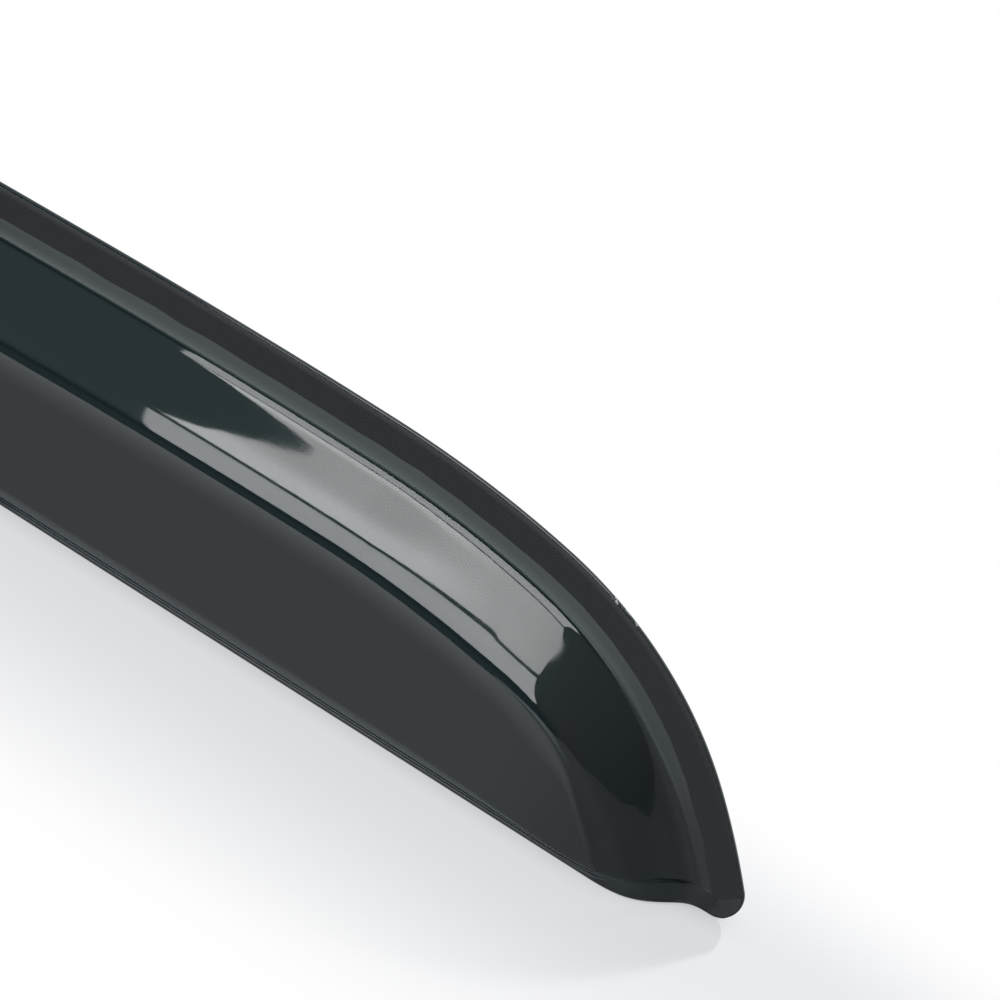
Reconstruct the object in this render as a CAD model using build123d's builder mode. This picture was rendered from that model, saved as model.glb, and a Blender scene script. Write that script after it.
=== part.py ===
"""Window rain deflector: a smoked acrylic visor with its foam mounting tape, in millimetres.

X runs along the door towards the closed tip, Y points at the car and Z is up.
The origin is on the tape's sticky back, on the tape's centre line at the roof peak.
"""
import os
from math import acos, atan2, cos, degrees, radians, sin, tan

from build123d import *

os.makedirs("parts", exist_ok=True)

# The tape: a flat foam strip that keeps clear of the flange's edge and ends.
tape_width = 10.0
tape_thickness = 1.1
tape_inset = 1.2
tape_tail_gap = 5.0
tape_tip_gap = 14.0

# The flange's outer edge: a straight tail, then arcs that turn it down to the tip.
tail_length = 330.0
roof_radius = 2600.0
roof_turn = 2.6
brow_radius = 400.0
brow_turn = 10.4
corner_radius = 170.0
corner_turn = 33.7
cheek_radius = 295.0

# The section: taped flange, sloping wall, and upright blade down to the free edge.
# The slope grows steeper, and its shoulder softer, where the edge turns down to the tip.
wall = 3.0
height = 90.0
standoff = 28.5
flange_width = 16.0
slope_run = 24.8
slope_run_tip = 14.7
root_radius = 6.0
shoulder_radius = 8.0
shoulder_radius_tip = 30.0

# The outline's corners and the sheet's softened edges.
tip_radius = 8.0
tail_radius = 6.0
edge_radius = 0.9

# The rim that stands out along the free edge, and rises where the blade turns in to the tip.
rim_step = 1.0
rim_height = 1.5
rim_radius = 0.5
rim_tail_gap = 14.0
rim_rise_start = 117.0
rim_rise_radius = 140.0
rim_rise_turn = 17.0
rim_foot = 170.0

# How many sections the sheet is formed through, and how far it runs on before it is trimmed.
section_count = 26
overrun = 2.0

# Worked out from the sizes above.
tape_centre = tape_inset + tape_width / 2
free_edge = tape_centre - height
flange_back = -tape_thickness
blade_front = tape_thickness + wall + standoff

# The arcs turn the edge down by these headings, and the last one stops at the free edge.
brow_heading = radians(brow_turn)
corner_heading = radians(brow_turn + corner_turn)
brow_drop = brow_radius * (1 - cos(brow_heading))
corner_drop = corner_radius * (cos(brow_heading) - cos(corner_heading))
cheek_drop = height - brow_drop - corner_drop
cheek_heading = acos(cos(corner_heading) - cheek_drop / cheek_radius)
cheek_turn = degrees(cheek_heading - corner_heading)


def roof_line(inset):
    """Draw the flange's outer edge, or the line beside it at an inset, from tail to tip."""
    rise = radians(roof_turn)
    radius = roof_radius - inset
    start_x = -radius * sin(rise) - tail_length * cos(rise)
    start_z = tape_centre - inset - radius * (1 - cos(rise)) - tail_length * sin(rise)
    tail = PolarLine((start_x, start_z), tail_length, roof_turn)
    roof = JernArc(tail @ 1, tail % 1, radius, -roof_turn)
    brow = JernArc(roof @ 1, roof % 1, brow_radius - inset, -brow_turn)
    corner = JernArc(brow @ 1, brow % 1, corner_radius - inset, -corner_turn)
    return JernArc(corner @ 1, corner % 1, cheek_radius - inset, -cheek_turn)


def sheet_section(place, heading, outset):
    """Draw the sheet's cross-section, square to the edge, moved out by an outset from the visor's own."""
    turned = (-heading - brow_heading) / (cheek_heading - brow_heading)
    turned = max(0.0, min(1.0, turned))
    ease = turned * turned * (3 - 2 * turned)
    run = slope_run + (slope_run_tip - slope_run) * ease
    shoulder = shoulder_radius + (shoulder_radius_tip - shoulder_radius) * ease
    lean = tan(atan2(standoff, run) / 2)
    root = flange_width - outset * lean
    shoulder_end = flange_width + run + shoulder * lean
    free_end = (place.Y - free_edge) / cos(heading)
    flange_front = wall + outset
    square_to_edge = Plane(
        origin=(place.X, flange_back, place.Y),
        x_dir=(sin(heading), 0, -cos(heading)),
        z_dir=(-cos(heading), 0, -sin(heading)),
    )
    with BuildSketch(square_to_edge) as sheet:
        with BuildLine():
            FilletPolyline(
                (0, flange_front),
                (root, flange_front),
                (root + run, flange_front + standoff),
                (max(free_end, shoulder_end) + overrun, flange_front + standoff),
                radius=(root_radius - outset, shoulder + outset),
            )
            offset(amount=wall, side=Side.RIGHT)
        make_face()
    return sheet.sketch


def sheet_sections(outset):
    """Draw the sections that the sheet is formed through, from the tail to just past the tip."""
    with BuildLine() as edge:
        cheek = roof_line(0)
        Line(cheek @ 1, (cheek @ 1) + (cheek % 1) * overrun)
    line = edge.wire()
    steps = [i / (section_count - 1) for i in range(section_count)]
    headings = [atan2(line.tangent_at(s).Y, line.tangent_at(s).X) for s in steps]
    return [sheet_section(line.position_at(s), h, outset) for s, h in zip(steps, headings)]


with BuildLine() as tape_line:
    roof_line(tape_centre)
tape_path = tape_line.wire()
tail_x = (tape_path @ 0).X

# The rim is the same sheet formed a step further out, kept only where the band rises to the tip,
# and carried on along the straight free edge by a flat strip.
with BuildPart() as rim:
    loft(sheet_sections(rim_step))
    with BuildSketch(Plane.XZ):
        with BuildLine():
            rise = JernArc((rim_rise_start, free_edge + rim_height), (1, 0), rim_rise_radius, rim_rise_turn)
            Polyline(rise @ 1, (rim_foot, free_edge), (rim_rise_start, free_edge), rise @ 0)
        make_face()
    extrude(amount=blade_front + rim_step + overrun, mode=Mode.INTERSECT)
    with BuildSketch(Plane.XZ.offset(blade_front - wall / 2)):
        with Locations((rim_rise_start, free_edge)):
            Rectangle(rim_rise_start - tail_x - rim_tail_gap, rim_height, align=(Align.MAX, Align.MIN))
    extrude(amount=wall / 2 + rim_step)
    underside = rim.faces().sort_by(Axis.Z)[0]
    fillet(underside.edges().sort_by(SortBy.LENGTH)[-2:].sort_by(Axis.Y)[0], rim_radius)

# The visor: the formed sheet is trimmed level at the free edge, its corners are rounded,
# and then both long edges are softened all the way round before the rim joins it.
with BuildPart() as deflector:
    loft(sheet_sections(0))
    split(bisect_by=Plane.XY.offset(free_edge), keep=Keep.TOP)
    tip_corner = deflector.faces().sort_by(Axis.Z)[0].edges().sort_by(Axis.X)[-1]
    fillet(tip_corner, tip_radius)
    tail_corners = deflector.faces().sort_by(Axis.X)[0].edges().sort_by(Axis.Z)
    fillet((tail_corners[0], tail_corners[-1]), tail_radius)
    underside = deflector.faces().sort_by(Axis.Z)[0]
    fillet(underside.edges().sort_by(SortBy.LENGTH)[-2:], edge_radius)
    add(rim.part)
deflector.part.label = "deflector"

# The tape follows the flange's edge on its back, and is cut square short of both ends.
with BuildPart() as mounting_tape:
    with BuildSketch(Plane.XZ):
        strip_start = tape_tail_gap / tape_path.length
        strip_end = 1 - tape_tip_gap / tape_path.length
        trace(tape_path.trim(strip_start, strip_end), tape_width)
    extrude(amount=tape_thickness)
mounting_tape.part.label = "mounting_tape"

export_step(deflector.part, "parts/deflector.step")
export_step(mounting_tape.part, "parts/mounting_tape.step")
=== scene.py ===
"""Window rain deflector: the smoked acrylic visor and its foam tape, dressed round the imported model."""
from math import acos, asin, atan2, cos, hypot, pi, radians, sin

import bpy
import numpy as np
from mathutils import Matrix, Vector


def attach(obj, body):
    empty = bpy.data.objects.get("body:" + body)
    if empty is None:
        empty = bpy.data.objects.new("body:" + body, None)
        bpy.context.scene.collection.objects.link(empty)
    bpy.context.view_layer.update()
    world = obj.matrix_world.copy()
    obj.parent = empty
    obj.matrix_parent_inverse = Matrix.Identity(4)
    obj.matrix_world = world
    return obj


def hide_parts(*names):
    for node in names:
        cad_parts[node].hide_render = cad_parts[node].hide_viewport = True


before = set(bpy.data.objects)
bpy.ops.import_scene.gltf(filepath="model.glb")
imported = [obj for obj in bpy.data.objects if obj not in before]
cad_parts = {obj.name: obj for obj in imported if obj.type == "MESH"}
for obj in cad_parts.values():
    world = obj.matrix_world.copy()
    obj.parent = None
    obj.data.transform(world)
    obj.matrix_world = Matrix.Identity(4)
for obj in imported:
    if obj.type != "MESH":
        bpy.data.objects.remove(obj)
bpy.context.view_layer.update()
bpy.ops.object.select_all(action="DESELECT")


# Visor: one sheet of dark smoked acrylic, heated, formed over a tool and trimmed with softened edges.
# Its flat flange, sloping wall and upright blade change all along their length, so a flat blank is gridded,
# thickened and then formed point by point over the tool's sections.
wall = 0.0030
height = 0.0900
standoff = 0.0285
flange_back = 0.0011
edge_top = 0.0062
free_edge = edge_top - height
flange_width = 0.01706
tip_radius = 0.0080
tail_radius = 0.0060
edge_radius = 0.0009
tiny = 1e-9

# How finely the blank is gridded: round an edge, along the tail, the arcs and the tip, and across the sheet.
edge_steps = 5
corner_stations = 9
tail_stations = 66
arc_stations = (24, 34, 92, 44)
tip_stations = 18
bend_rows = 19
ledge_rows = 9
weld_distance = 2e-6

# The slope runs less far, and its bends grow rounder, where the edge turns down to the tip (degrees).
slope_run = 0.0213
slope_run_cuts = ((0.0030, 3, 28), (0.0046, 35, 58))
root_softness = 0.0010
shoulder_softness = 0.0025
tip_root_bend = (0.0016, 0.0030, 28, 54)
tip_shoulder_bend = (0.0047, 0.0086, 25, 54)
tip_change = (22, 40)

# The rim stands out along the free edge, rises beside the tip and fades there and near the tail.
rim_step = 0.0010
rim_height = 0.0015
rim_blend = 0.00035
rim_edge_radius = 0.0006
rim_rise_start = 0.117
rim_rise_end = 0.156
rim_rise_radius = 0.140
rim_fade = (0.146, 0.166)
rim_tail_fade = (0.010, 0.018)

# The flange's outer edge: a straight tail, then four arcs that turn it down to the tip.
tail_length = 0.330
tail_heading = radians(2.6)
arc_radii = (2.600, 0.400, 0.170, 0.295)
arc_ends = [0.0, radians(-10.4), radians(-44.1)]
edge_drop = height - arc_radii[1] * (1 - cos(arc_ends[1]))
edge_drop -= arc_radii[2] * (cos(arc_ends[1]) - cos(arc_ends[2]))
arc_ends.append(-acos(cos(arc_ends[2]) - edge_drop / arc_radii[3]))
arc_starts = [tail_heading] + arc_ends[:-1]


def inward(heading):
    """The direction across the sheet, from its outer edge to its free edge, in x and z."""
    return np.array([sin(heading), -cos(heading)])


edge_place = np.array([0.0, edge_top])
arc_centres = [edge_place + arc_radii[0] * inward(0.0)]
for radius, start, end in zip(arc_radii[1:], arc_starts[1:], arc_ends[1:]):
    arc_centres.append(edge_place + radius * inward(start))
    edge_place = arc_centres[-1] - radius * inward(end)
tail_end = arc_centres[0] - arc_radii[0] * inward(tail_heading)
tail_along = np.array([cos(tail_heading), sin(tail_heading)])
tail_start = tail_end - tail_length * tail_along

# The rounded tip is a circle that touches the last arc and the free edge.
cheek_centre = arc_centres[3]
cheek_reach = arc_radii[3] - tip_radius
tip_centre_z = free_edge + tip_radius
tip_centre_x = cheek_centre[0] + (cheek_reach**2 - (tip_centre_z - cheek_centre[1]) ** 2) ** 0.5
tip_centre = np.array([tip_centre_x, tip_centre_z])
tip_heading = atan2(cheek_centre[0] - tip_centre[0], tip_centre[1] - cheek_centre[1])
last_heading = tip_heading - asin(tip_radius / cheek_reach)


def edge_stations():
    """Places along the outer edge, each with its heading and, on the tail, its distance from the end."""
    corner_start = 0.6
    straight_start = 0.0075
    rounded_end = edge_radius * (1 - np.cos(np.linspace(0, pi / 2, edge_steps + 1)))
    rounded_corner = tail_radius * (1 - np.cos(np.linspace(corner_start, pi / 2, corner_stations)))
    straight = np.linspace(straight_start, tail_length, tail_stations)[:-1]
    distances = np.concatenate([rounded_end, rounded_corner, straight])
    places = [(tail_start + distance * tail_along, tail_heading, distance) for distance in distances]
    ends = arc_ends[:3] + [tip_heading]
    for centre, radius, start, end, count in zip(arc_centres, arc_radii, arc_starts, ends, arc_stations):
        for heading in np.linspace(start, end, count)[:-1]:
            places.append((centre - radius * inward(heading), heading, None))
    for share in np.sin(np.linspace(0, pi / 2, tip_stations)):
        heading = tip_heading + (last_heading - tip_heading) * share
        places.append((cheek_centre - arc_radii[3] * inward(heading), heading, None))
    return places


def eased(value, low, high):
    """0 up to the low limit, 1 from the high limit on, and a smooth rise between them."""
    share = np.clip((value - low) / (high - low), 0.0, 1.0)
    return share * share * (3 - 2 * share)


def soft_bend(past, softness):
    """A bend that eases in from far off: how far the sheet has risen past it, and its slope."""
    reach = np.hypot(past, softness)
    return 0.5 * (past + reach), 0.5 * (1 + past / reach)


def round_bend(past, reach):
    """A bend that begins and ends at its reach: how far the sheet has risen past it, and its slope."""
    share = np.clip((past + reach) / (2 * reach), 0.0, 1.0)
    risen = np.where(past > reach, past, 2 * reach * share**3 * (1 - share / 2))
    return risen, share * share * (3 - 2 * share)


def slope_length(heading):
    """How far the slope runs across the sheet where the edge has this heading."""
    turned = -np.degrees(heading)
    return slope_run - sum(cut * eased(turned, low, high) for cut, low, high in slope_run_cuts)


def sheet_line(across, heading):
    """The sheet's front across its width: how far it stands out, and how steeply it rises."""
    turned = -np.degrees(heading)
    run = slope_length(heading)
    root = across - flange_width
    root_reach = tip_root_bend[0] + tip_root_bend[1] * eased(turned, *tip_root_bend[2:])
    shoulder_reach = tip_shoulder_bend[0] + tip_shoulder_bend[1] * eased(turned, *tip_shoulder_bend[2:])
    roundness = eased(turned, *tip_change)
    out = np.full_like(across, wall)
    rise = np.zeros_like(across)
    soft = (soft_bend(root, root_softness), soft_bend(root - run, shoulder_softness))
    full = (round_bend(root, root_reach), round_bend(root - run, shoulder_reach))
    for share, (root_bend, shoulder_bend) in ((1 - roundness, soft), (roundness, full)):
        out += share * (standoff / run) * (root_bend[0] - shoulder_bend[0])
        rise += share * (standoff / run) * (root_bend[1] - shoulder_bend[1])
    return out, rise


def sheet_rows(heading, first, last):
    """Where the sheet's rows lie across it: close together over the root and the shoulder."""
    run = slope_length(heading)
    shoulder = flange_width + run
    crowding = 2.2
    root_span = 0.0045
    near_shoulder = 0.45 * run
    past_shoulder = 0.0150
    least_blade = 0.004
    spread = np.sinh(np.linspace(-crowding, crowding, bend_rows)) / np.sinh(crowding)
    far = max(last, shoulder + past_shoulder + least_blade)
    rows = np.concatenate([
        np.linspace(first, flange_width - root_span, 6)[:-1],
        flange_width + root_span * spread,
        np.linspace(flange_width + root_span, shoulder - near_shoulder, 5)[1:-1],
        shoulder + np.where(spread < 0, near_shoulder, past_shoulder) * spread,
        np.linspace(shoulder + past_shoulder, far, 10)[1:]])
    return first + (rows - first) * (last - first) / (rows[-1] - first)


def rim_place(start, heading, end):
    """How far across the sheet the rim's step lies: a little above the free edge, rising at the tip."""
    across = np.linspace(0.0, end, 400)
    x = start[0] + across * sin(heading)
    z = start[1] - across * cos(heading)
    along = np.clip(x, rim_rise_start, rim_rise_end) - rim_rise_start
    line = free_edge + rim_height + rim_rise_radius - np.sqrt(rim_rise_radius**2 - along**2)
    return float(np.interp(0.0, line - z, across))


def trimmed_span(start, heading, distance):
    """Where a line across the sheet begins and ends, and what the tail's softened end takes off it."""
    near = 0.0
    far = (start[1] - free_edge) / cos(heading)
    taken = 0.0
    if distance is not None and distance < tail_radius:
        near = tail_radius - (tail_radius**2 - (tail_radius - distance) ** 2) ** 0.5
        if distance < edge_radius:
            taken = edge_radius - (edge_radius**2 - (edge_radius - distance) ** 2) ** 0.5
        near += taken
        far -= near
    if heading <= tip_heading:
        to_centre = tip_centre - start
        middle = float(to_centre @ inward(heading))
        half = max(0.0, tip_radius**2 - float(to_centre @ to_centre) + middle**2) ** 0.5
        near = middle - half
        if start[0] + (middle + half) * sin(heading) > tip_centre[0]:
            far = middle + half
    return near, far, taken


def sheet_sides(start, heading, distance):
    """The sheet's front and back points on one line across it, each with its two rounded edges."""
    near, far, taken = trimmed_span(start, heading, distance)
    widest_round = 0.45 * (far - near)
    rim = rim_step if distance is None else rim_step * eased(distance, *rim_tail_fade)
    rim *= 1 - eased(start[0] + far * sin(heading), *rim_fade)
    front_radius = min(edge_radius + (rim_edge_radius - edge_radius) * rim / rim_step, widest_round)
    back_radius = min(edge_radius, widest_round)

    def formed(across, outset):
        """Points of the sheet, moved out square to its front."""
        out, rise = sheet_line(across, heading)
        slant = np.hypot(rise, 1.0)
        return np.stack([across - outset * rise / slant, out + outset / slant], axis=-1)

    def rounded(row, inset, radius, from_way, to_way):
        """A rounded edge of the sheet, swung from one direction to the other."""
        centre = formed(np.array([row]), -inset)[0]
        swing = np.linspace(atan2(from_way[1], from_way[0]), atan2(to_way[1], to_way[0]), edge_steps + 1)
        return centre + radius * np.stack([np.cos(swing), np.sin(swing)], axis=-1)

    def facing(row):
        """The way the sheet's front faces at a row."""
        rise = sheet_line(np.array([row]), heading)[1][0]
        return np.array([-rise, 1.0]) / hypot(rise, 1.0)

    trial = np.linspace(near - 0.004, far + 0.006, 1500)
    front_last = np.interp(far - front_radius, formed(trial, rim - taken - front_radius)[:, 0], trial)
    back_last = np.interp(far - back_radius, formed(trial, back_radius + taken - wall)[:, 0], trial)
    front_first = near + front_radius
    back_first = near + back_radius
    step = min(rim_place(start, heading, far), front_last - 2.2 * rim_blend)
    step = max(step, 0.5 * (front_first + front_last))
    blend = min(rim_blend, 0.4 * (front_last - step))
    ledge = step + blend * np.linspace(-1.0, 1.0, ledge_rows)
    rows = np.concatenate([sheet_rows(heading, front_first, ledge[0])[:-1], ledge, [front_last]])
    share = (rows - front_first) / max(front_last - front_first, tiny)
    back_rows = back_first + (back_last - back_first) * share

    proud = rim * eased(rows, ledge[0] - tiny, ledge[-1] + tiny)
    foot = np.array([1.0, 0.0])
    front = np.concatenate([
        rounded(front_first, front_radius + taken, front_radius, (-1.0, tiny), facing(front_first))[:-1],
        formed(rows, proud - taken),
        rounded(front_last, front_radius + taken - rim, front_radius, facing(front_last), foot)[1:]])
    back = np.concatenate([
        rounded(back_first, wall - back_radius - taken, back_radius, (-1.0, -tiny), -facing(back_first))[:-1],
        formed(back_rows, taken - wall + 0.0 * rows),
        rounded(back_last, wall - back_radius - taken, back_radius, -facing(back_last), foot)[1:]])
    return [np.stack([start[0] + side[:, 0] * sin(heading), -flange_back - side[:, 1],
                      start[1] - side[:, 0] * cos(heading)], axis=-1) for side in (front, back)]


sides = np.array([sheet_sides(*place) for place in edge_stations()])
station_count, row_count = sides.shape[0], sides.shape[2]
bpy.ops.mesh.primitive_grid_add(x_subdivisions=station_count - 1, y_subdivisions=row_count - 1, size=1.0)
visor = bpy.context.object
visor.name = "visor_sheet"
visor.data.name = "visor_sheet"
bpy.ops.object.mode_set(mode="EDIT")
bpy.ops.mesh.select_all(action="SELECT")
bpy.ops.mesh.extrude_region_move(TRANSFORM_OT_translate={"value": (0.0, 0.0, -1.0)})
bpy.ops.object.mode_set(mode="OBJECT")
blank = np.empty(3 * len(visor.data.vertices))
visor.data.vertices.foreach_get("co", blank)
blank = blank.reshape(-1, 3)
station = np.rint((blank[:, 0] + 0.5) * (station_count - 1)).astype(int)
row = np.rint((blank[:, 1] + 0.5) * (row_count - 1)).astype(int)
behind = (blank[:, 2] < -0.5).astype(int)
visor.data.vertices.foreach_set("co", sides[station, behind, row].ravel())
trimmed_edge = visor.data.attributes.new("trimmed_edge", "FLOAT", "POINT")
trimmed = ((row < edge_steps) | (row >= row_count - edge_steps) | (station < edge_steps)).astype(float)
on_rim = (row >= row_count - edge_steps - 1 - ledge_rows) & (behind == 0)
trimmed[on_rim] = np.maximum(trimmed, 1 - eased(sides[station, behind, row][:, 0], *rim_fade))[on_rim]
trimmed_edge.data.foreach_set("value", trimmed)
bpy.ops.object.mode_set(mode="EDIT")
bpy.ops.mesh.select_all(action="SELECT")
bpy.ops.mesh.remove_doubles(threshold=weld_distance)
bpy.ops.mesh.normals_make_consistent(inside=False)
bpy.ops.object.mode_set(mode="OBJECT")
bpy.ops.object.shade_smooth()
bpy.ops.object.select_all(action="DESELECT")


class Finish:
    """A socket in a material, so that its shader maths reads as plain expressions."""

    def __init__(self, tree, socket=None):
        self.tree = tree
        self.socket = socket

    def node(self, kind, settings=None, sockets=None, output=0):
        """Add a node, set it up, fill or link its sockets, and hand back one of its outputs."""
        made = self.tree.nodes.new(kind)
        for name, value in (settings or {}).items():
            if name == "stops":
                for stop, (place, colour) in zip(made.color_ramp.elements, value):
                    stop.position = place
                    stop.color = colour
            else:
                setattr(made, name, value)
        for name, value in (sockets or {}).items():
            if isinstance(value, Finish):
                self.tree.links.new(value.socket, made.inputs[name])
            else:
                made.inputs[name].default_value = value
        return Finish(self.tree, made.outputs[output] if made.outputs else None)

    def maths(self, operation, first, second):
        return self.node("ShaderNodeMath", {"operation": operation}, {0: first, 1: second})

    def __add__(self, other):
        return self.maths("ADD", self, other)

    def __sub__(self, other):
        return self.maths("SUBTRACT", self, other)

    def __rsub__(self, other):
        return self.maths("SUBTRACT", other, self)

    def __mul__(self, other):
        return self.maths("MULTIPLY", self, other)

    def __gt__(self, other):
        return self.maths("GREATER_THAN", self, other)

    __radd__ = __add__


def new_finish(name):
    """A new material with an empty node tree, and a Finish to build it with."""
    material = bpy.data.materials.new(name)
    material.use_nodes = True
    material.node_tree.nodes.clear()
    return material, Finish(material.node_tree)


def coordinate(place, axis):
    """One coordinate of a place or a direction."""
    return place.node("ShaderNodeSeparateXYZ", None, {0: place}, output=axis)


# Polished smoke acrylic: grey at its surface and nearly black through 3 mm, with the faint waves of a
# formed sheet, a little haze from handling and a few specks of dust. The trimmed edges and the rim are
# ground, so they are dull and dark, with a few pale chips where the outer edge turns down.
smoke_density = 513.0
smoke_colour = (0.0, 0.152, 0.120, 1.0)
surface_tint = (0.20, 0.20, 0.20, 1.0)
acrylic_ior = 1.49
wave_height = 0.000012
dust_size = 0.045
dust_patchiness = 0.66
dust_cover = 0.6
dust_colour = (0.35, 0.35, 0.34, 1.0)
ground_colour = (0.010, 0.013, 0.014, 1.0)
chip_start, chip_end = 0.090, 0.105
chip_lowest = -0.030
chip_level = 0.585
chip_cover = 0.8
acrylic, paint = new_finish("smoked_acrylic")
place = paint.node("ShaderNodeTexCoord", output="Object")
waves = paint.node("ShaderNodeTexNoise", None, {"Vector": place, "Scale": 14.0, "Detail": 1.0})
haze = paint.node("ShaderNodeTexNoise", None, {"Vector": place, "Scale": 90.0, "Detail": 4.0})
trimmed = paint.node("ShaderNodeAttribute", {"attribute_name": "trimmed_edge"}, output="Fac")
dust_cells = paint.node("ShaderNodeTexVoronoi", None, {"Vector": place, "Scale": 260.0})
dust_patch = paint.node("ShaderNodeTexNoise", None, {"Vector": place, "Scale": 37.0, "Detail": 2.0})
dust = (dust_size - dust_cells) * (dust_patch > dust_patchiness) > 0.0
formed_waves = paint.node("ShaderNodeBump", None, {"Strength": 1.0, "Distance": wave_height, "Height": waves})
gloss = 0.015 + haze * 0.03
clear_body = paint.node("ShaderNodeBsdfPrincipled", None,
                        {"Base Color": surface_tint, "Roughness": gloss, "IOR": acrylic_ior,
                         "Transmission Weight": 1.0, "Normal": formed_waves})
specks = paint.node("ShaderNodeBsdfPrincipled", None, {"Base Color": dust_colour, "Roughness": 0.9})
ground_edge = paint.node("ShaderNodeBsdfPrincipled", None,
                         {"Base Color": ground_colour, "Roughness": 0.05 + haze * 0.06, "IOR": acrylic_ior})
sheet = paint.node("ShaderNodeMixShader", None, {0: trimmed, 1: clear_body, 2: ground_edge})
flecks = paint.node("ShaderNodeTexNoise", None, {"Vector": place, "Scale": 620.0, "Detail": 2.0})
along_sheet = coordinate(place, "X")
chipped = (along_sheet > chip_start) * (chip_end - along_sheet > 0.0) * (coordinate(place, "Z") > chip_lowest)
chips = (flecks > chip_level) * (trimmed > 0.5) * chipped
marks = paint.maths("MAXIMUM", dust * dust_cover, chips * chip_cover)
surface = paint.node("ShaderNodeMixShader", None, {0: marks, 1: sheet, 2: specks})
smoke = paint.node("ShaderNodeVolumeAbsorption", None, {"Color": smoke_colour, "Density": smoke_density})
paint.node("ShaderNodeOutputMaterial", None, {"Surface": surface, "Volume": smoke})
visor.data.materials.append(acrylic)
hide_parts("deflector")
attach(visor, "root")


# Mounting tape: a strip of black foam with adhesive on both faces, pressed along the flange's back by hand.
# It follows the outer edge at a steady inset and is cut square short of both ends.
tape_width = 0.0100
tape_inset = 0.0012
tape_tail_gap = 0.005
tape_tip_gap = 0.014
tape_thickness = 0.00108
tape_waver = 0.00018
waver_rates = (900, 431)
waver_shift = 1.3
tail_pieces = 30
bend_pieces = (12, 9, 12, 5)
strip_weld = 1e-6
tape_middle = tape_inset + tape_width / 2
strip_start = tail_start + tape_tail_gap * tail_along + tape_middle * inward(tail_heading)
strip_along = (tail_length - tape_tail_gap) / tail_pieces * tail_along
strip_end = arc_ends[3] + tape_tip_gap / (arc_radii[3] - tape_middle)
bpy.ops.mesh.primitive_plane_add(size=1.0, rotation=(0.0, pi / 2, 0.0))
tape = bpy.context.object
tape.name = "foam_tape"
tape.data.name = "foam_tape"
bpy.ops.object.transform_apply(location=True, rotation=True, scale=True)
bpy.ops.object.mode_set(mode="EDIT")
bpy.ops.mesh.select_all(action="SELECT")
bpy.ops.transform.resize(value=(1.0, tape_thickness, tape_width))
bpy.ops.transform.translate(value=(0.0, -tape_thickness / 2, 0.0))
bpy.ops.object.mode_set(mode="OBJECT")
tape.data.transform(Matrix.Rotation(-tail_heading, 4, "Y"))
tape.data.transform(Matrix.Translation((strip_start[0], 0.0, strip_start[1])))
bpy.ops.object.mode_set(mode="EDIT")
bpy.ops.mesh.select_all(action="SELECT")
for piece in range(tail_pieces):
    bpy.ops.mesh.extrude_region_move(TRANSFORM_OT_translate={"value": (strip_along[0], 0.0, strip_along[1])})
for centre, start, end, steps in zip(arc_centres, arc_starts, arc_ends[:3] + [strip_end], bend_pieces):
    bpy.ops.mesh.spin(steps=steps, angle=end - start, center=(centre[0], 0.0, centre[1]),
                      axis=(0.0, 1.0, 0.0))
bpy.ops.mesh.select_all(action="SELECT")
bpy.ops.mesh.remove_doubles(threshold=strip_weld)
bpy.ops.mesh.normals_make_consistent(inside=False)
bpy.ops.object.mode_set(mode="OBJECT")

# Laid by hand, the strip wavers a little along its inner edge.
for vertex in tape.data.vertices:
    if vertex.co.x > tail_end[0]:
        centre, radius = next((c, r) for c, r, e in zip(arc_centres, arc_radii, arc_ends[:3] + [-pi])
                              if atan2(c[0] - vertex.co.x, vertex.co.z - c[1]) > e - 1e-6)
        out = np.array([vertex.co.x, vertex.co.z]) - centre
        if radius - np.hypot(*out) > tape_middle:
            waver = sin(waver_rates[0] * vertex.co.x) + sin(waver_rates[1] * vertex.co.x + waver_shift)
            waver *= tape_waver
            vertex.co.x += waver * out[0] / radius
            vertex.co.z += waver * out[1] / radius
tape.data.materials.clear()

# Foam: matt black with fine open cells, its tone and roughness cloudy all over.
foam, paint = new_finish("black_foam")
place = paint.node("ShaderNodeTexCoord", output="Object")
cells = paint.node("ShaderNodeTexVoronoi", None, {"Vector": place, "Scale": 1100.0})
cloud = paint.node("ShaderNodeTexNoise", None, {"Vector": place, "Scale": 120.0, "Detail": 5.0})
shade = paint.node("ShaderNodeValToRGB",
                   {"stops": ((0.3, (0.016, 0.016, 0.016, 1.0)), (0.75, (0.040, 0.040, 0.039, 1.0)))},
                   {"Fac": cloud * 0.7 + cells * 0.3})
pores = paint.node("ShaderNodeBump", None, {"Strength": 0.5, "Distance": 0.00006, "Height": cells})
foam_body = paint.node("ShaderNodeBsdfPrincipled", None,
                       {"Base Color": shade, "Roughness": 0.72 + cloud * 0.25, "Normal": pores})
paint.node("ShaderNodeOutputMaterial", None, {"Surface": foam_body})
tape.data.materials.append(foam)
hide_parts("mounting_tape")
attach(tape, "root")
bpy.ops.object.select_all(action="DESELECT")


# Floor: a sheet of polished white board that the visor stands on, which glows white. A soft contact shadow is
# painted into its glow, and it mirrors the visor faintly; it is paler far in front. Where it is seen through
# the visor it is painted dim, a painted shadow of the visor standing over it.
board_size = 14.0
board_gap = 0.0001
contact_reach = 0.016
darkest_contact = 0.70
shade_curve = 6.0
under_slope = 0.18
unseen_level = 0.75
mirror_share = 0.30
mirror_blur = 0.12
black = (0.0, 0.0, 0.0, 1.0)
plain_white = (1.0, 1.0, 1.0, 1.0)
reflection_tint_white = (0.995, 1.005, 1.035, 1.0)
bpy.ops.mesh.primitive_plane_add(size=board_size, location=(0.0, 0.0, free_edge - board_gap))
floor = bpy.context.object
floor.name = "floor"
bpy.ops.object.transform_apply(location=True, rotation=True, scale=True)
board, paint = new_finish("white_board")


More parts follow.
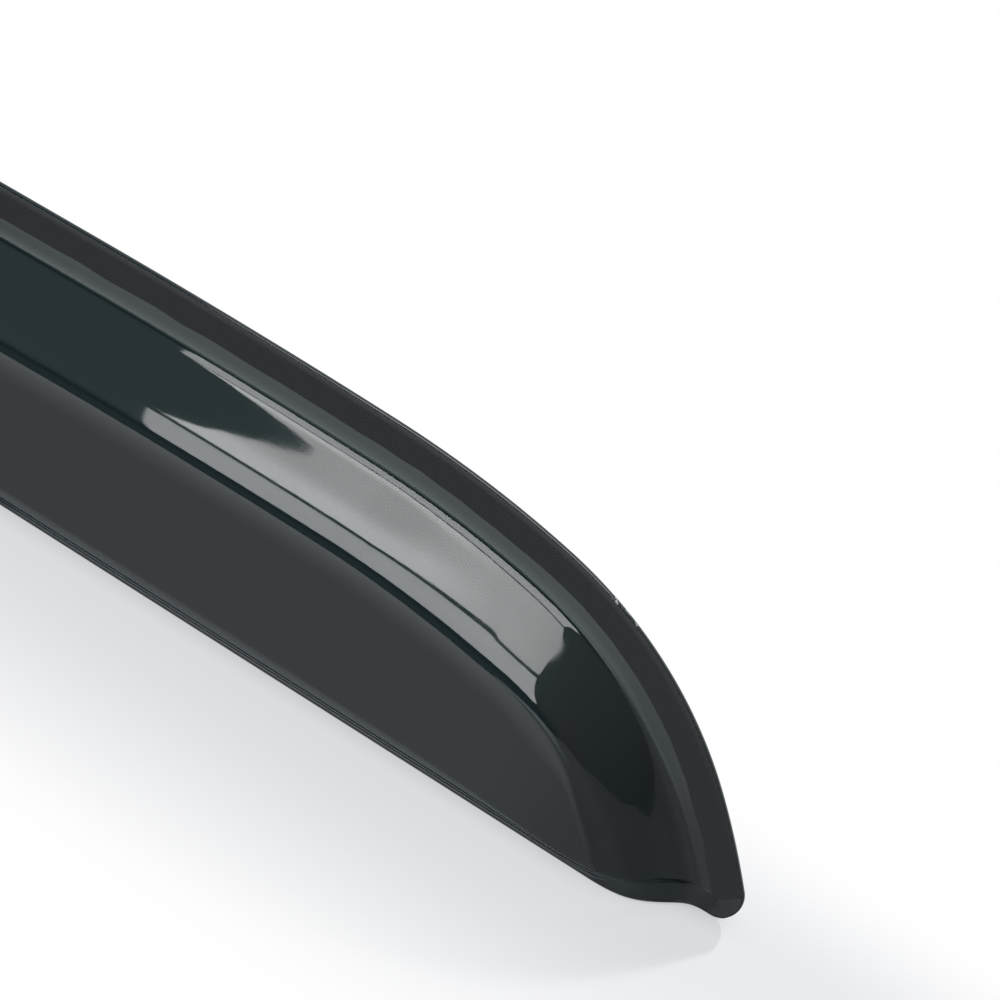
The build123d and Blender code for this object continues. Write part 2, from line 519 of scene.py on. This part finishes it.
def ramp(value, low, high, first=0.0, last=1.0, kind="SMOOTHSTEP"):
    """A steady change from one number to another over a stretch of a coordinate."""
    return value.node("ShaderNodeMapRange", {"interpolation_type": kind},
                      {"Value": value, "From Min": low, "From Max": high, "To Min": first, "To Max": last})


def blended(share, first, second):
    """A mix of two numbers."""
    return share.node("ShaderNodeMix", {"data_type": "FLOAT"}, {0: share, 2: first, 3: second})


def toned(share, first, second):
    """A mix of two colours."""
    return share.node("ShaderNodeMix", {"data_type": "RGBA"}, {0: share, 6: first, 7: second}, output=2)


place = paint.node("ShaderNodeTexCoord", output="Object")
across_floor = coordinate(place, "X")
into_floor = coordinate(place, "Y")
seen = paint.node("ShaderNodeLightPath", output="Is Camera Ray")
through = paint.node("ShaderNodeLightPath", output="Is Transmission Ray")
# Painted contact shadow: ambient occlusion darkens the board's glow near the visor, in what the camera sees.
contact = paint.node("ShaderNodeAmbientOcclusion", {"samples": 8}, {"Distance": contact_reach}, output="AO")
# Painted shadow of the visor: seen through the sheet, the board's glow is painted dim over a patch shaped to
# the visor.
past_bend = paint.maths("MAXIMUM", across_floor - 0.02, 0.0)
shade_edge = into_floor + past_bend * past_bend * shade_curve
under_blade = ramp(across_floor, 0.085, 0.130, 0.31, 0.10)
painted_visor_shadow = blended(ramp(shade_edge, 0.085, 0.110), under_blade, under_slope)
open_floor = ramp(across_floor, 0.08, 0.14, 1.0, 0.58) * ramp(across_floor, 0.15, 0.17, 1.0, 0.6)
under = blended(ramp(shade_edge, 0.164, 0.188), painted_visor_shadow, open_floor)
contact_level = darkest_contact + contact * (1 - darkest_contact)
level = blended(seen, blended(through, unseen_level, under), contact_level)
polish = ramp(into_floor, -0.275, -0.034) * ramp(into_floor, 0.10, -0.01) * seen
polish = polish * ramp(across_floor, -0.62, -0.45) * ramp(across_floor, 0.45, 0.22)
# Where the board mirrors the visor, its glow is also painted a little cooler: a painted tint of that
# reflection.
board_colour = toned(polish, plain_white, reflection_tint_white)
white = paint.node("ShaderNodeEmission", None, {"Color": toned(level, black, board_colour), "Strength": 1.0})
mirror = paint.node("ShaderNodeBsdfGlossy", None, {"Color": plain_white, "Roughness": mirror_blur})
top = paint.node("ShaderNodeMixShader", None, {0: polish * mirror_share, 1: white, 2: mirror})
paint.node("ShaderNodeOutputMaterial", None, {"Surface": top})
floor.data.materials.append(board)
floor.visible_glossy = False


# Studio: a white backdrop behind, a grey screen on the right whose top slopes down towards the back, and
# two soft boxes overhead with a narrow gap between them. All are seen only in what is polished.
backdrop_place, backdrop_half, backdrop_top = 1.6, 5.0, 1.3
screen_place = 0.8
screen_top = [(-8.0, 0.85), (-0.614, 0.82), (-0.087, 0.547), (0.104, 0.432), (0.139, 0.372), (0.33, 0.24)]
box_height = 0.700
gap_half = 0.0055
gap_start, gap_bend, gap_end = -0.112, 0.05, 0.382
gap_place, gap_slope, gap_curve = -0.143, 0.110, 0.421


def studio_panel(name, corners, colour, glow, shading):
    """A flat panel with these corners, which glows in what is polished, though not in the floor's mirror."""
    mesh = bpy.data.meshes.new(name)
    mesh.from_pydata(corners, [], [tuple(range(len(corners)))])
    panel = bpy.data.objects.new(name, mesh)
    bpy.context.collection.objects.link(panel)
    material, paint = new_finish(name)
    place = paint.node("ShaderNodeTexCoord", output="Object")
    cloud = paint.node("ShaderNodeTexNoise", None, {"Vector": place, "Scale": 9.0, "Detail": 2.0})
    first_bounce = 1.5 - paint.node("ShaderNodeLightPath", output="Glossy Depth") > 0.0
    share = (0.74 + cloud * 0.26) * shading(place) * first_bounce
    light = paint.node("ShaderNodeEmission", None, {"Color": toned(share, black, colour), "Strength": glow})
    paint.node("ShaderNodeOutputMaterial", None, {"Surface": light})
    mesh.materials.append(material)
    panel.visible_camera = False
    panel.visible_shadow = False


def even_shading(place):
    """A panel that is alike all over."""
    return 1.0


def screen_shading(place):
    """The screen is paler towards the front, most of all high up at its far end."""
    along = coordinate(place, "Y")
    far_corner = ramp(along, -1.2, -2.8, 0.0, 0.67) * ramp(coordinate(place, "Z"), 0.1, 0.65)
    return ramp(along, 0.1, -0.5, 0.18, 0.33, "LINEAR") + far_corner


def top_box_shading(place):
    """The top box is brighter along the gap, and dims towards its right end."""
    right = coordinate(place, "X")
    past_bend = right.maths("MAXIMUM", right - gap_bend, 0.0)
    from_gap = coordinate(place, "Y") - gap_place - past_bend * gap_slope - past_bend * past_bend * gap_curve
    bright_edge = ramp(from_gap, 0.026, 0.045, 0.32, 0.0) * ramp(right, 0.10, 0.24, 1.0, 0.2)
    return (bright_edge + 0.68) * ramp(right, 0.26, 0.38, 1.0, 0.85)


backdrop_outline = [(-backdrop_half, free_edge), (backdrop_half, free_edge)]
backdrop_outline += [(backdrop_half, backdrop_top), (-backdrop_half, backdrop_top)]
studio_panel("backdrop", [(x, backdrop_place, z) for x, z in backdrop_outline], plain_white, 0.50,
             even_shading)
screen_outline = [(screen_top[0][0], free_edge)] + screen_top + [(screen_top[-1][0], free_edge)]
studio_panel("screen", [(screen_place, y, z) for y, z in screen_outline], (0.88, 1.0, 1.02, 1.0), 1.95,
             screen_shading)
gap_line = [(gap_start, gap_place)]
for right in np.linspace(gap_bend, gap_end, 18):
    past = right - gap_bend
    gap_line.append((right, gap_place + gap_slope * past + gap_curve * past**2))
top_outline = [(-0.034, 0.250), (-0.034, -0.094), (-0.058, -0.100), (-0.079, -0.110), (-0.097, -0.126)]
top_outline += [(x, y + gap_half) for x, y in gap_line] + [(0.390, -0.030), (0.425, -0.010), (0.425, 0.250)]
front_outline = [(-0.118, -0.149)] + [(x, y - gap_half) for x, y in gap_line]
front_outline += [(0.395, -0.120), (0.453, -0.393), (0.440, -0.520), (0.140, -0.560), (-0.118, -0.680)]
studio_panel("top_box", [(x, y, box_height) for x, y in top_outline], (0.98, 1.0, 1.01, 1.0), 10.6,
             top_box_shading)
studio_panel("front_box", [(x, y, box_height) for x, y in front_outline], (0.97, 1.0, 1.03, 1.0), 7.1,
             even_shading)

# Past the panels, what is polished shows a dim floor, palest near the horizon, and a dim room above it.
floor_glow = 2.0
floor_tint = (0.95, 1.0, 1.05, 1.0)
left_wall, left_ceiling = (0.03, 0.15, 0.22, 1.0), (0.38, 0.60, 0.65, 1.0)
right_wall, right_ceiling = (0.095, 0.115, 0.125, 1.0), (0.36, 0.42, 0.44, 1.0)
world = bpy.data.worlds.new("studio")
world.use_nodes = True
world.node_tree.nodes.clear()
bpy.context.scene.world = world
paint = Finish(world.node_tree)
seen = paint.node("ShaderNodeLightPath", output="Is Camera Ray")
through = paint.node("ShaderNodeLightPath", output="Is Transmission Ray")
way = paint.node("ShaderNodeTexCoord", output="Generated")
rightward = coordinate(way, "X")
upward = coordinate(way, "Z")
near_horizon = upward.maths("POWER", ramp(upward, -0.345, 0.0, kind="LINEAR"), 0.6)
floor_level = blended(ramp(rightward, 0.0, 0.23), 0.39 + near_horizon * 0.61, 0.26)
to_left = toned(ramp(upward, 0.707, 0.966), left_wall, left_ceiling)
to_right = toned(ramp(upward, 0.58, 0.95, kind="LINEAR"), right_wall, right_ceiling)
room_colour = toned(ramp(rightward, 0.25, 0.55), to_left, to_right)
floor_colour = toned(floor_level, black, floor_tint)
dim_floor = paint.node("ShaderNodeBackground", None, {"Color": floor_colour, "Strength": floor_glow})
dim_room = paint.node("ShaderNodeBackground", None, {"Color": room_colour, "Strength": 1.0})
dim = paint.node("ShaderNodeMixShader", None, {0: upward > 0.0, 1: dim_floor, 2: dim_room})
bright = paint.node("ShaderNodeBackground", None, {"Color": plain_white, "Strength": 1.0})
sky = paint.node("ShaderNodeMixShader", None, {0: paint.maths("MAXIMUM", seen, through), 1: dim, 2: bright})
paint.node("ShaderNodeOutputWorld", None, {"Surface": sky})


# Camera: a long lens above the visor's front, turned so that the visor runs down to the right.
view_elevation = radians(22)
view_roll = radians(32.42)
view_distance = 5.0
view_aim = Vector((0.0432, -0.0041, 0.0024))
view_line = Vector((0.0, cos(view_elevation), -sin(view_elevation)))
level_right = Vector((1.0, 0.0, 0.0))
level_up = Vector((0.0, sin(view_elevation), cos(view_elevation)))
lens = bpy.data.cameras.new("camera")
lens.sensor_width = 36.0
lens.lens = 540.0
lens.clip_end = 50.0
camera = bpy.data.objects.new("camera", lens)
bpy.context.collection.objects.link(camera)
turned_right = cos(view_roll) * level_right + sin(view_roll) * level_up
turned_up = cos(view_roll) * level_up - sin(view_roll) * level_right
camera.matrix_world = Matrix.Translation(view_aim - view_distance * view_line) @ Matrix(
    (turned_right, turned_up, -view_line)).transposed().to_4x4()
bpy.context.scene.camera = camera
bpy.context.scene.view_settings.view_transform = "Standard"
